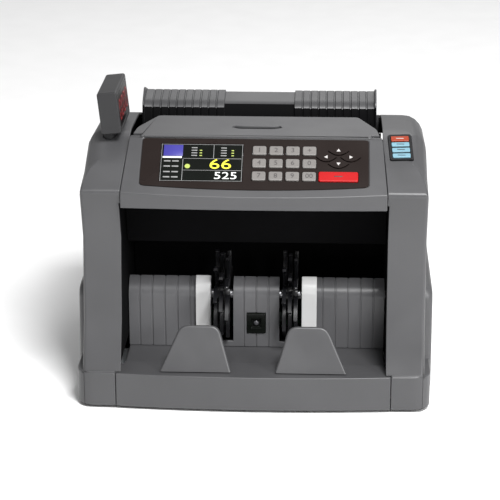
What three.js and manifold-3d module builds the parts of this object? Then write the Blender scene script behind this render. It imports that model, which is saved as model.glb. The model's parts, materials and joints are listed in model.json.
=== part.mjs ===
// Banknote counting machine: an assembly of separate shells, keys, wheels, shafts and boards.
// Millimetres, +Z up, front towards -Y, operator's right towards +X, origin under the middle of the feet.
import * as THREE from 'three';
import * as BufferGeometryUtils from 'three/addons/utils/BufferGeometryUtils.js';
import Module from 'manifold-3d';

const wasm = await Module();
wasm.setup();

// ---------------------------------------------------------------- driving dimensions
const clear = 0.4;            // gap between neighbouring fixed pieces
const runGap = 0.6;           // gap round a moving piece
const wall = 2.5;             // moulded shell thickness
const plate = 2.0;            // steel plate thickness

const bodyHalf = 140;         // outer face of the side covers
const skirtHalf = 147.5;      // outer face of the side skirts
const cornerHalf = 145.5;     // outer face of the base corners
const mouthHalf = 108.5;      // inner edge of the columns
const seamHalf = 113;         // seam between the front panel and the base corners
const frontY = -127;          // middle of the bowed base front
const sideFrontY = -122;      // base front at the seams
const rearY = 124.8;          // rear face
const skirtFrontY = -84;      // front edge of the side skirts
const skirtTopZ = 92;         // top edge of the side skirts
const coverFootZ = 2.5;       // lower edge of the shells
const baseLipZ = 32;          // top of the base front
const cornerCut = 30;         // how far the base corner curve runs along each side

const lipY = -110;            // front lip of the top housing, at the middle
const lipZ = 180;             // height of that lip
const lipBow = 3.5;           // how far the lip falls back at the sides
const fasciaHeight = 10.5;    // upright band under the lip
const slopeDeg = 36;          // control panel slope
const panelTopY = -60.5;      // rear edge of the control panel
const sideBreakY = -80;       // where the side covers turn to a flatter slope
const sideTiltDeg = 25;       // that flatter slope, which carries the side keypad
const sideTopY = -46;
const deckRearY = -6;         // rear edge of the hopper deck
const deckRise = 3;           // rise of the deck from front to rear
const plateauEndY = 22;       // where the side covers start to fall away
const plateauEndZ = 214;
const rearTopY = 106;         // where the top turns down to the rear face
const rearTopZ = 190.5;       // height of the rear top edge
const kneeHighY = -93;        // inward bend of the columns
const kneeHighZ = 139;
const kneeLowY = -103;        // bend above the base
const kneeLowZ = 71;
const shoulder = 18;          // radius of the shoulders
const seamTaper = 4;          // narrowing of the top housing towards the rear

const floorZ = 28;            // stacker floor
const ledgeRearY = -96;       // rear edge of the front ledge
const wallY = -52;            // stacker back wall
const wallTopZ = 88;
const slotInner = 19.5;       // impeller slots in the stacker wall
const slotOuter = 38;
const guideOuter = 51.5;      // outer edge of the white guide plates

const impellerR = 38;
const impellerWidth = 13;
const impellerX = 28.75;
const impellerY = -40;
const impellerZ = 72;
const slotFootZ = 33;         // lower end of the impeller slots
const shaftR = 4;
const feedY = -18;
const feedZ = 186;
const feedRollerR = 15;
const feedRollerWidth = 24;
const feedRollerX = 38;
const retardR = 9;
const motorY = 42;
const motorZ = 74;
const motorR = 24;
const motorLength = 62;
const pulleyX = 117;          // inner flange of the drive pulleys
const beltWidth = 6;
const beltThick = 1.6;
const bigPulleyR = 14;
const smallPulleyR = 8;

const trayHalf = 99.7;
const trayThroatY = 7;        // lower edge of the rear tray
const trayThroatZ = 199;
const trayBendY = 13;
const trayBendZ = 225;
const trayRearY = 43;
const trayRearZ = 230;
const trayGrooves = 9;        // grooves in each ribbed field
const trayMiddleHalf = 30;    // smooth field between them

const overlayFoot = 8;        // distance from the lip to the overlay, along the slope
const overlayHeight = 51.5;
const screenWidth = 66.4;
const screenHeight = 37.4;
const screenX = -43;          // middle of the screen
const keyPitchX = 13.5;
const keyPitchT = 12.9;
const keyWidth = 11.2;
const keyHeight = 8.9;
const keyFirstX = 3.6;
const keyTravel = 0.8;

const podLength = 65;
const podHeight = 36;
const podThick = 16.5;
const podLeanDeg = 6;
const podX = -120.5;
const podPivotY = -52;
const podFrontY = -66;
const podBottomZ = 217.6;

const footR = 9;
const footHeight = 3.7;
const footX = 118;
const footFrontY = -88;
const footRearY = 104;
const baseRimZ = 20;          // top of the rim of the base tray

const sideKeyX = 118.8;
const sideKeyWidth = 18.5;
const sideKeyHeight = 31;
const sideKeyFoot = 3;        // distance from the break of the slope to the keypad
const sideCapWidth = 14.5;
// pod neck, panel film and its keys
const podNeckR = 5.2;
const podOffsetX = 3.5;       // how far the housing stands inward of its neck
const podNeckBottomZ = 196;
const overlayBow = 4;
const keyRowT = 21.6;
const keyColumns = 4;
const keyRows = 3;
const startWidth = 31.8;
const startHeight = 9.8;
const padT = 41.3;
const screenT = 35;
const arrowLength = 16.5;
const arrowHeight = 8.6;
const arrowReachX = 9.8;
const arrowReachT = 6.6;
// hopper deck and rear tray
const deckHalfFront = 101;
const deckHalfRear = 99;
const deckThick = 2.2;
const deckCornerX = 15;       // rear corners are cut off by this much across
const deckCornerY = 31;       // and this much along
const notch = 7;              // square notches at the front corners, round the hinge pins
const pinR = 1.5;
const trayThick = 3.4;
const grooveWidth = 1.3;
const grooveDepth = 0.8;
// fittings at the rear
const inletX = -58;
const inletZ = 38;
const inletHalfX = 14;
const inletHalfZ = 10.5;
const switchX = -92;
const switchHalfX = 7;
const switchHalfZ = 9.5;
const knobY = 74;
const knobR = 9;
// stacker wall, sensor window and note stops
const wallThick = 2.5;
const wallBendZ = 79;
const ribPitch = 10.75;
const ribFirst = 56;
const windowHalf = 7.8;
const windowLowZ = 41;
const windowHighZ = 59;
const stopX = 47.5;
const stopFoot = 61;
const stopTop = 31;
const stopDepth = 9;
const stopHeight = 39;
const stopY = -121;
// retard roller and motor shaft
const retardY = 9.5;
const retardZ = 180;
const motorShaftR = 3;
// places that follow from the dimensions above
const deckFrontY = panelTopY + 1.2;
const hingeY = deckFrontY + 2;
const trayGapY = trayRearY + 4;
const keysEndX = keyFirstX + (keyColumns - 1) * keyPitchX + keyWidth / 2;
const padX = keysEndX + 17.9; // middle of the arrow pad
const startX = padX;          // middle of the start key
const overlayHalf = padX + arrowReachX + arrowLength / 2 + 6.35;
const podFrame = 5;           // margin of the pod's window at its ends
const trayLipDrop = 16.5;      // depth of the lip turned down at the rear of the tray
const trayLipZ = trayRearZ - trayLipDrop;
const chuteFootZ = 40;        // lower edge of the chute's rear wall

// ---------------------------------------------------------------- materials
function finish(hex, roughness, metalness = 0) {
  return new THREE.MeshStandardMaterial({ color: hex, roughness, metalness });
}
const greyShell = finish(0x6f6f71, 0.5);
const darkPlastic = finish(0x1c1c1e, 0.6);
const overlayFilm = finish(0x352c2a, 0.3);
const screenGlass = finish(0x1a1c16, 0.15);
const keyPlastic = finish(0xa5a09d, 0.5);
const redPlastic = finish(0xd6232d, 0.4);
const orangePlastic = finish(0xd8501a, 0.4);
const bluePlastic = finish(0xaecdd8, 0.4);
const whitePlate = finish(0xdcdcdc, 0.4);
const rubber = finish(0x202020, 0.9);
const steel = finish(0x9a9c9f, 0.35, 0.9);
const boardGreen = finish(0x1f5a33, 0.6);

// ---------------------------------------------------------------- helpers
const AXES = {
  x: [new THREE.Vector3(0, 1, 0), new THREE.Vector3(0, 0, 1), new THREE.Vector3(1, 0, 0)],
  y: [new THREE.Vector3(1, 0, 0), new THREE.Vector3(0, 0, 1), new THREE.Vector3(0, -1, 0)],
  z: [new THREE.Vector3(1, 0, 0), new THREE.Vector3(0, 1, 0), new THREE.Vector3(0, 0, 1)],
};
const rad = THREE.MathUtils.degToRad;

// An outline of [a, b, cut] points; cut is how far each corner is rounded back.
function outline(points) {
  const shape = new THREE.Shape();
  const count = points.length;
  for (let i = 0; i < count; i += 1) {
    const here = new THREE.Vector2(points[i][0], points[i][1]);
    const before = new THREE.Vector2(...points[(i + count - 1) % count].slice(0, 2));
    const after = new THREE.Vector2(...points[(i + 1) % count].slice(0, 2));
    const reach = 0.49 * Math.min(here.distanceTo(before), here.distanceTo(after));
    const cut = Math.min(points[i][2] ?? 0, reach);
    const start = here.clone().add(before.sub(here).setLength(cut));
    const end = here.clone().add(after.sub(here).setLength(cut));
    if (i === 0) {
      shape.moveTo(start.x, start.y);
    } else {
      shape.lineTo(start.x, start.y);
    }
    if (cut > 0) {
      shape.quadraticCurveTo(here.x, here.y, end.x, end.y);
    }
  }
  shape.closePath();
  return shape;
}

// The outline moved inwards by a distance, corners mitred. Points run anticlockwise.
function inset(points, distance) {
  const count = points.length;
  return points.map((point, i) => {
    const here = new THREE.Vector2(point[0], point[1]);
    const before = new THREE.Vector2(...points[(i + count - 1) % count].slice(0, 2));
    const after = new THREE.Vector2(...points[(i + 1) % count].slice(0, 2));
    const a = here.clone().sub(before).normalize();
    const b = after.sub(here).normalize();
    const na = new THREE.Vector2(-a.y, a.x);
    const nb = new THREE.Vector2(-b.y, b.x);
    const middle = na.clone().add(nb);
    const moved = here.add(middle.multiplyScalar(distance / (0.5 * middle.lengthSq())));
    return [moved.x, moved.y, Math.max((point[2] ?? 0) - distance, 0)];
  });
}

// A prism of an outline (points or a shape) along one axis, from low to high, with rounded edges.
// A corner that is rounded less than the edges are stays sharp in the outline.
function prism(axis, profile, low, high, bevel = 0, curveSegments = 4, bevelSegments = 3) {
  const roomy = (corner) => corner > 1.5 * bevel;
  const shape = profile instanceof THREE.Shape ? profile
    : outline(profile.map(([a, b, c = 0]) => [a, b, roomy(c) ? c : 0]));
  const geometry = new THREE.ExtrudeGeometry(shape, {
    depth: high - low - 2 * bevel,
    curveSegments,
    bevelEnabled: bevel > 0,
    bevelSize: bevel,
    bevelOffset: -bevel,
    bevelThickness: bevel,
    bevelSegments,
  });
  geometry.translate(0, 0, bevel + (axis === 'y' ? -high : low));
  const basis = new THREE.Matrix4().makeBasis(...AXES[axis]);
  return geometry.applyMatrix4(basis);
}

function box(x0, x1, y0, y1, z0, z1) {
  const geometry = new THREE.BoxGeometry(x1 - x0, y1 - y0, z1 - z0);
  return geometry.translate((x0 + x1) / 2, (y0 + y1) / 2, (z0 + z1) / 2);
}

// A round bar along X, from x0 to x1.
function rod(radius, x0, x1, y, z, sides = 28) {
  const geometry = new THREE.CylinderGeometry(radius, radius, x1 - x0, sides);
  geometry.rotateZ(Math.PI / 2);
  return geometry.translate((x0 + x1) / 2, y, z);
}

// A turned piece along X: the profile is [radius, x] points.
function turned(profile, y, z, sides = 28) {
  const points = profile.map(([r, x]) => new THREE.Vector2(r, x));
  const geometry = new THREE.LatheGeometry(points, sides);
  geometry.rotateZ(-Math.PI / 2);
  return geometry.translate(0, y, z);
}

function rectangle(x0, x1, y0, y1, cut = 0) {
  return [[x0, y0, cut], [x1, y0, cut], [x1, y1, cut], [x0, y1, cut]];
}

function solid(item) {
  if (item instanceof wasm.Manifold) {
    return item;
  }
  const bare = item.index ? item.toNonIndexed() : item.clone();
  bare.deleteAttribute('normal');
  bare.deleteAttribute('uv');
  const merged = BufferGeometryUtils.mergeVertices(bare, 1e-4);
  const vertProperties = new Float32Array(merged.attributes.position.array);
  const triVerts = new Uint32Array(merged.index.array);
  return new wasm.Manifold(new wasm.Mesh({ numProp: 3, vertProperties, triVerts }));
}

function join(...items) {
  return items.map(solid).reduce((all, item) => all.add(item));
}

function cut(body, ...tools) {
  return tools.map(solid).reduce((all, tool) => all.subtract(tool), solid(body));
}

function common(...items) {
  return items.map(solid).reduce((all, item) => all.intersect(item));
}

function geometryOf(item) {
  if (!(item instanceof wasm.Manifold)) {
    return item;
  }
  const mesh = item.getMesh();
  const geometry = new THREE.BufferGeometry();
  geometry.setAttribute('position', new THREE.BufferAttribute(mesh.vertProperties, 3));
  geometry.setIndex(new THREE.BufferAttribute(mesh.triVerts, 1));
  geometry.computeVertexNormals();
  return geometry;
}

const machine = new THREE.Group();

function piece(name, item, material, parent = machine) {
  const mesh = new THREE.Mesh(geometryOf(item), material);
  mesh.name = name;
  parent.add(mesh);
  return mesh;
}

// The same piece for the other side: x negated and each triangle turned round.
function mirrored(item) {
  const geometry = BufferGeometryUtils.mergeVertices(geometryOf(item).clone().scale(-1, 1, 1));
  const index = geometry.index.array;
  for (let i = 0; i < index.length; i += 3) {
    const first = index[i];
    index[i] = index[i + 1];
    index[i + 1] = first;
  }
  return geometry;
}

// ---------------------------------------------------------------- shared profiles
const slope = rad(slopeDeg);
const panelTopZ = lipZ + (panelTopY - lipY) * Math.tan(slope);
const deckFrontZ = panelTopZ;
const deckRearZ = deckFrontZ + deckRise;
const sideLipY = lipY + lipBow;
const sideLipZ = lipZ + lipBow * Math.tan(slope);
const sideTilt = rad(sideTiltDeg);
const sideBreakZ = lipZ + (sideBreakY - lipY) * Math.tan(slope);
const sideTopZ = sideBreakZ + (sideTopY - sideBreakY) * Math.tan(sideTilt);

// Side view of the covers as [y, z, rounding], anticlockwise from the lower front corner.
const sideProfile = [
  [sideFrontY + 2, coverFootZ, 1],
  [rearY, coverFootZ, 1],
  [rearY, rearTopZ - 40, 12],
  [rearTopY, rearTopZ, 16],
  [plateauEndY, plateauEndZ, 20],
  [sideTopY, sideTopZ, 12],
  [sideBreakY, sideBreakZ, 8],
  [sideLipY, sideLipZ, 3],
  [kneeHighY, kneeHighZ, 1.5],
  [kneeLowY, kneeLowZ, 1.5],
  [sideFrontY + 2, baseLipZ, 2],
];

// The upper housing between the side covers narrows towards the rear.
function housingPlan(gap) {
  const front = mouthHalf - 1.2 - gap;
  const rear = front - seamTaper;
  const frontEnd = frontY - 10;
  return [[-front, frontEnd], [front, frontEnd], [front, lipY], [rear, panelTopY],
    [rear, rearY + 10], [-rear, rearY + 10], [-rear, panelTopY], [-front, lipY]];
}

// Plan view of a base corner, from the seam to the rear, as seen from above.
function cornerPlan(outer, seam) {
  return [[seam, sideFrontY, 1], [outer, sideFrontY + 1, cornerCut], [outer, rearY, 6], [seam, rearY, 1]];
}

// ---------------------------------------------------------------- side covers
// The body of a cover, thinned by an inset all round; softly rounded over the shoulder.
function coverBody(inner, thin) {
  const sharp = prism('x', inset(sideProfile, thin), inner, bodyHalf - thin + 3, 0);
  const trim = prism('x', inset(sideProfile, thin), inner - 10, bodyHalf - thin, 3, 4, 2);
  const reach = shoulder - thin;
  const grown = inset(sideProfile, thin).map(([y, z, c]) => {
    const low = z < baseLipZ + 1;
    const front = y < kneeHighY + 1 && z < panelTopZ - 20;
    return [front ? y - 60 : y, low ? z - 60 : z, c];
  });
  const soft = prism('x', grown, inner - 60, bodyHalf - thin, reach, 4, 5);
  return common(sharp, trim, soft);
}

function coverSkirt(thin) {
  const profile = [[skirtFrontY, coverFootZ + thin / 2, 5], [rearY - 1, coverFootZ + thin / 2, 5],
    [rearY - 3, skirtTopZ + 4, 14], [skirtFrontY + 9, skirtTopZ, 12]];
  return prism('x', inset(profile, thin), bodyHalf - 20, skirtHalf - thin, 6, 4, 3);
}

function coverCorner(thin, low) {
  const rounding = thin ? 0 : 1.2;
  return prism('z', inset(cornerPlan(cornerHalf, seamHalf), thin), low, baseLipZ - thin, rounding, 8, 2);
}

const coverInner = mouthHalf - seamTaper - 2;
const sideFrameX = mouthHalf + clear;

function rightCover() {
  const outer = join(coverBody(coverInner, 0), coverSkirt(0), coverCorner(0, coverFootZ));
  const cavity = join(
    coverBody(coverInner - 5, wall),
    coverSkirt(wall),
    coverCorner(wall, coverFootZ - 5),
    box(seamHalf + wall, bodyHalf - wall, skirtFrontY, rearY - wall, coverFootZ - 5, baseLipZ),
    box(mouthHalf - 5, cornerHalf - 2 * wall, footFrontY - footR - 6, rearY - wall, coverFootZ - 5, 10),
  );
  const housingRoom = prism('z', housingPlan(-clear), lipZ - fasciaHeight, panelTopZ + 60);
  const mouthRoom = box(0, mouthHalf, frontY - 20, rearY + 20, 0, lipZ - 8);
  const panelRoom = box(0, seamHalf, frontY - 20, wallY, 0, baseLipZ);
  return cut(outer, cavity, housingRoom, mouthRoom, panelRoom);
}

// ---------------------------------------------------------------- side keypad, on the right cover
const sideKeyTurn = rad(3);

function tilted(y, z, angle) {
  const group = new THREE.Group();
  group.position.set(0, y, z);
  group.rotation.x = angle;
  machine.add(group);
  return group;
}

// A piece drawn flat on a slope, carried to its place as a solid for cutting.
function onSlope(geometry, y, z, angle) {
  return geometry.clone().rotateX(angle).translate(0, y, z);
}

// An outline drawn from the middle of the keypad's lower edge, placed on the tilted side.
function sideKeypadPlaced(geometry) {
  return geometry.rotateZ(sideKeyTurn).translate(sideKeyX, sideKeyFoot, 0);
}

function sideKeypadPocket() {
  const half = sideKeyWidth / 2 + clear;
  const pocket = prism('z', rectangle(-half, half, -clear, sideKeyHeight + clear, 2), -wall - 8, 8);
  return onSlope(sideKeypadPlaced(pocket), sideBreakY, sideBreakZ, sideTilt);
}

const sideSlope = tilted(sideBreakY, sideBreakZ, sideTilt);
const sideKeyRows = [
  { name: 'side_key_mode', t: 25.2, height: 6, material: orangePlastic },
  { name: 'side_key_1', t: 18.2, height: 4.8, material: bluePlastic },
  { name: 'side_key_2', t: 11.4, height: 4.8, material: bluePlastic },
  { name: 'side_key_3', t: 4.6, height: 4.8, material: bluePlastic },
];

function sideCap(t, height, grow, low, high) {
  const half = sideCapWidth / 2 + grow;
  return prism('z', rectangle(-half, half, t - height / 2 - grow, t + height / 2 + grow, 1), low, high);
}

function buildSideKeypad() {
  const half = sideKeyWidth / 2;
  const film = prism('z', rectangle(-half, half, 0, sideKeyHeight, 2), -3, 0.6);
  const holes = sideKeyRows.map((row) => sideCap(row.t, row.height, clear, -10, 5));
  piece('side_keypad_overlay', geometryOf(sideKeypadPlaced(geometryOf(cut(film, ...holes)))), darkPlastic,
    sideSlope);
  for (const row of sideKeyRows) {
    piece(row.name, sideKeypadPlaced(sideCap(row.t, row.height, 0, -2.6, 1.4)), row.material, sideSlope);
  }
}

// ---------------------------------------------------------------- covers in place
function buildCovers() {
  const right = rightCover();
  piece('right_side_cover', cut(right, sideKeypadPocket()), greyShell);
  piece('left_side_cover', mirrored(cut(right, podNeckHole())), greyShell);
}

// ---------------------------------------------------------------- display pod on its neck, at the left

function podNeckHole() {
  const hole = new THREE.CylinderGeometry(podNeckR + clear, podNeckR + clear, 60, 28);
  hole.rotateX(Math.PI / 2);
  return hole.translate(-podX, podPivotY, podBottomZ - 15);
}

function podRing(radius, low, high) {
  const ring = new THREE.CylinderGeometry(radius, radius, high - low, 28);
  ring.rotateX(Math.PI / 2);
  return ring.translate(podX, podPivotY, (low + high) / 2);
}

function buildPod() {
  const neck = join(podRing(podNeckR, podNeckBottomZ, podBottomZ - runGap), podRing(9, podNeckBottomZ - 2,
    podNeckBottomZ));
  piece('pod_neck', neck, darkPlastic);
  const pod = new THREE.Group();
  pod.position.set(podX + podOffsetX, podFrontY, podBottomZ);
  pod.rotation.y = -rad(podLeanDeg);
  machine.add(pod);
  const half = podThick / 2;
  const lift = half * Math.tan(rad(podLeanDeg)) + 0.2;
  const body = prism('y', rectangle(-half, half, lift, podHeight, 2), 0, podLength, 1.2, 3, 2);
  const windowRoom = box(half - 1.4, half + 5, podFrame - clear, podLength - podFrame + clear,
    lift + 4 - clear, podHeight - 4 + clear);
  const hollow = box(-half + 2, half - 3.5, 2.5, podLength - 2.5, lift + 2.5, podHeight - 2.5);
  const port = box(half - 5, half + 1, 12, podLength - 12, lift + 8, podHeight - 8);
  piece('pod_housing', cut(body, windowRoom, hollow, port), greyShell, pod);
  const pane = rectangle(podFrame, podLength - podFrame, lift + 4, podHeight - 4, 1.5);
  piece('pod_window', prism('x', pane, half - 1.1, half - 0.2), screenGlass, pod);
}

// ---------------------------------------------------------------- top housing with the control panel
function lipPlan(setback) {
  const half = mouthHalf - 1.2;
  const shape = new THREE.Shape();
  const side = lipY + lipBow + setback;
  shape.moveTo(-half - 5, side);
  shape.quadraticCurveTo(0, 2 * (lipY + setback) - side, half + 5, side);
  shape.lineTo(half + 5, rearY);
  shape.lineTo(-half - 5, rearY);
  shape.closePath();
  return shape;
}

function topHousing() {
  const profile = [
    [lipY - 6, lipZ - fasciaHeight, 0],
    [panelTopY - 3, lipZ - fasciaHeight - 3, 2],
    [panelTopY, panelTopZ, 0.6],
    [lipY - 6, lipZ - 6 * Math.tan(slope), 0],
  ];
  const half = mouthHalf;
  const bowed = prism('z', lipPlan(0), lipZ - 30, panelTopZ + 10, 0, 12);
  const plan = prism('z', housingPlan(0), lipZ - 30, panelTopZ + 10);
  const outer = common(prism('x', profile, -half, half), bowed, plan);
  const inside = common(
    prism('x', inset(profile, wall), -half + wall + 1, half - wall - 1),
    prism('z', lipPlan(wall), lipZ - 30, panelTopZ + 10, 0, 12),
    prism('z', housingPlan(wall), lipZ - 30, panelTopZ + 10),
  );
  const rearOpening = box(-half + 12, half - 12, panelTopY - 7, panelTopY + 5, lipZ - 4,
    panelTopZ - wall - 6.5);
  const recess = prism('z', overlayShape(clear), -1.1, 5, 0, 10);
  const openings = panelWindows().map((w) => prism('z', w, -wall - 4, 5));
  const cuts = [recess, ...openings].map((g) => onSlope(g, lipY, lipZ, slope));
  return cut(outer, inside, rearOpening, ...cuts);
}

// ---------------------------------------------------------------- control panel pieces, drawn on the slope

function overlayShape(grow) {
  const half = overlayHalf + grow;
  const top = overlayFoot + overlayHeight + grow;
  const side = overlayFoot + overlayBow - grow;
  const middle = overlayFoot - overlayBow - grow;
  const shape = new THREE.Shape();
  shape.moveTo(-half, side + 3);
  shape.quadraticCurveTo(-half, side, -half + 4, side - 0.4);
  shape.quadraticCurveTo(0, middle + 0.4, half - 4, side - 0.4);
  shape.quadraticCurveTo(half, side, half, side + 3);
  shape.lineTo(half, top - 3);
  shape.quadraticCurveTo(half, top, half - 3, top);
  shape.lineTo(-half + 3, top);
  shape.quadraticCurveTo(-half, top, -half, top - 3);
  shape.closePath();
  return shape;
}

function keyOutline(grow) {
  const halfX = keyWidth / 2 + grow;
  const halfT = keyHeight / 2 + grow;
  return rectangle(-halfX, halfX, -halfT, halfT, 1.4);
}

function arrowOutline(grow, upright) {
  const long = arrowLength / 2 + grow * 1.6;
  const high = arrowHeight / 2 + grow;
  const shape = new THREE.Shape();
  const squeeze = upright ? 0.96 : 1;
  shape.moveTo(-long * squeeze, 0);
  shape.quadraticCurveTo(0, -2 * high, long * squeeze, 0);
  shape.quadraticCurveTo(0, 2 * high, -long * squeeze, 0);
  return shape;
}

function keyPlaces() {
  const places = [];
  for (let row = 0; row < keyRows; row += 1) {
    for (let column = 0; column < keyColumns; column += 1) {
      places.push({
        name: `key_${String(row * keyColumns + column + 1).padStart(2, '0')}`,
        x: keyFirstX + column * keyPitchX,
        t: keyRowT + (keyRows - 1 - row) * keyPitchT,
      });
    }
  }
  return places;
}

function arrowPlaces() {
  return [
    { name: 'arrow_key_up', x: padX, t: padT + arrowReachT, upright: false },
    { name: 'arrow_key_down', x: padX, t: padT - arrowReachT, upright: false },
    { name: 'arrow_key_left', x: padX - arrowReachX, t: padT, upright: true },
    { name: 'arrow_key_right', x: padX + arrowReachX, t: padT, upright: true },
  ];
}

function startOutline(grow) {
  const half = startWidth / 2 + grow;
  return rectangle(startX - half, startX + half, keyRowT - startHeight / 2 - grow,
    keyRowT + startHeight / 2 + grow, 1.6);
}

function screenOutline(grow) {
  const half = screenWidth / 2 + grow;
  const tall = screenHeight / 2 + grow;
  return rectangle(screenX - half, screenX + half, screenT - tall, screenT + tall, 0.6);
}

// Windows in the housing under the overlay: display, keypad, arrow pad and start key.
function panelWindows() {
  const edge = 1.5;
  const keysRight = keyFirstX + (keyColumns - 1) * keyPitchX + keyWidth / 2 + edge;
  const keysTop = keyRowT + (keyRows - 1) * keyPitchT + keyHeight / 2 + edge;
  const padReachX = arrowReachX + arrowLength / 2 + edge;
  const padReachT = arrowReachT + arrowHeight / 2 + edge;
  return [
    screenOutline(clear),
    rectangle(keyFirstX - keyWidth / 2 - edge, keysRight, keyRowT - keyHeight / 2 - edge, keysTop, 1),
    rectangle(padX - padReachX, padX + padReachX, padT - padReachT, padT + padReachT, 1),
    startOutline(edge),
  ];
}

function buildPanel() {
  const panel = tilted(lipY, lipZ, slope);
  const keyHoles = keyPlaces().map(({ x, t }) => (
    prism('z', keyOutline(clear), -5, 5, 0, 2).translate(x, t, 0)));
  const arrowHoles = arrowPlaces().map(({ x, t, upright }) => (
    prism('z', arrowOutline(clear, upright), -5, 5, 0, 6).translate(x, t, 0)));
  const film = cut(prism('z', overlayShape(0), -0.8, 0, 0, 10), ...keyHoles, ...arrowHoles,
    prism('z', startOutline(clear), -5, 5), prism('z', screenOutline(clear), -5, 5));
  piece('control_overlay', film, overlayFilm, panel);
  piece('display_screen', prism('z', screenOutline(0), -6, -0.2), screenGlass, panel);
  for (const { name, x, t } of keyPlaces()) {
    piece(name, prism('z', keyOutline(0), -3.5, 1.2, 0.5, 2, 1).translate(x, t, 0), keyPlastic, panel);
  }
  for (const { name, x, t, upright } of arrowPlaces()) {
    piece(name, prism('z', arrowOutline(0, upright), -3.5, 1, 0, 6).translate(x, t, 0), overlayFilm, panel);
  }
  piece('start_key', prism('z', startOutline(0), -3.5, 1.2, 0.5, 3, 1), redPlastic, panel);
}

// ---------------------------------------------------------------- hopper deck, hinged at its front corners
const deckAngle = Math.atan2(deckRise, deckRearY - deckFrontY);
const hingeZ = deckFrontZ - 1.8;

function deckPlan() {
  return [
    [-deckHalfFront + notch, deckFrontY], [deckHalfFront - notch, deckFrontY],
    [deckHalfFront - notch, deckFrontY + notch], [deckHalfFront, deckFrontY + notch],
    [deckHalfRear, deckRearY - deckCornerY, 4], [deckHalfRear - deckCornerX, deckRearY, 3],
    [-deckHalfRear + deckCornerX, deckRearY, 3], [-deckHalfRear, deckRearY - deckCornerY, 4],
    [-deckHalfFront, deckFrontY + notch], [-deckHalfFront + notch, deckFrontY + notch],
  ];
}

function buildDeck() {
  const run = deckRearY - deckFrontY + 6;
  const sheet = prism('x', [[deckFrontY, deckFrontZ - deckThick, 0.4],
    [deckFrontY + run, deckFrontZ - deckThick + run * Math.tan(deckAngle)],
    [deckFrontY + run, deckFrontZ + run * Math.tan(deckAngle)], [deckFrontY, deckFrontZ, 1.4]], -110, 110);
  const top = common(sheet, prism('z', deckPlan(), hingeZ - 30, hingeZ + 30));
  const flangeX = deckHalfFront - notch - 0.2;
  const flange = box(flangeX - 2.3, flangeX, deckFrontY + 0.2, deckFrontY + 34, hingeZ - 6, hingeZ + 2);
  const pin = rod(pinR, deckHalfFront - notch - 2, mouthHalf - seamTaper - 1.8, hingeY, hingeZ, 16);
  const slot = prism('z', [[-21, -35, 1], [-14, -38.4, 4], [14, -38.4, 4], [21, -35, 1], [19, -30.4, 1],
    [13, -31.6, 4], [-13, -31.6, 4], [-19, -30.4, 1]], hingeZ - 30, hingeZ + 30);
  piece('hopper_deck', cut(join(top, flange, mirrored(flange), pin, mirrored(pin)), slot), greyShell);
}

// ---------------------------------------------------------------- rear tray, a ribbed chute with end fins

function trayProfile(thick, sink) {
  return [
    [trayThroatY + sink, trayThroatZ], [trayThroatY + thick, trayThroatZ],
    [trayBendY + thick + 0.3, trayBendZ - thick + 0.8, 3], [trayRearY - thick, trayRearZ - thick, 2],
    [trayRearY + 0.5 - thick, trayLipZ], [trayRearY + 1.5, trayLipZ],
    [trayRearY, trayRearZ - sink, 3], [trayBendY + sink, trayBendZ - sink, 9],
  ];
}

function buildTray() {
  const inner = trayMiddleHalf;
  const side = prism('x', trayProfile(trayThick, 0), inner, trayHalf - 1, 0, 3);
  const middle = prism('x', trayProfile(trayThick, 1.5), -inner - 0.5, inner + 0.5, 0, 3);
  const fin = prism('x', [[trayThroatY - 1, trayThroatZ], [trayRearY + 1.5, trayLipZ],
    [trayRearY, trayRearZ, 2], [trayBendY + 14, trayRearZ + 5, 2], [trayBendY - 2, trayBendZ + 1, 3]],
  trayHalf - 1.6, trayHalf);
  const pitch = (trayHalf - 1.6 - inner) / (trayGrooves + 1);
  const grooves = [];
  const outside = trayProfile(trayThick, grooveDepth);
  for (let i = 1; i <= trayGrooves; i += 1) {
    const x = inner + i * pitch;
    const slab = box(x - grooveWidth / 2, x + grooveWidth / 2, 0, 60, 190, 240);
    const keep = prism('x', [...outside.slice(0, 4), [trayRearY - 0.5, trayLipZ], [80, trayLipZ],
      [80, 235], [trayRearY, 235], [trayRearY, trayRearZ - grooveDepth], outside[7]],
    x - grooveWidth, x + grooveWidth, 0, 3);
    grooves.push(cut(slab, keep, box(0, 200, 15, 60, 180, trayBendZ - 6)));
  }
  const half = cut(join(side, fin), ...grooves);
  piece('rear_tray', join(half, mirrored(half), middle), greyShell);
}

// ---------------------------------------------------------------- rear cover with its openings

function rearTopZAt(y) {
  return plateauEndZ + (y - plateauEndY) * (rearTopZ - plateauEndZ) / (rearTopY - plateauEndY);
}

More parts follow.
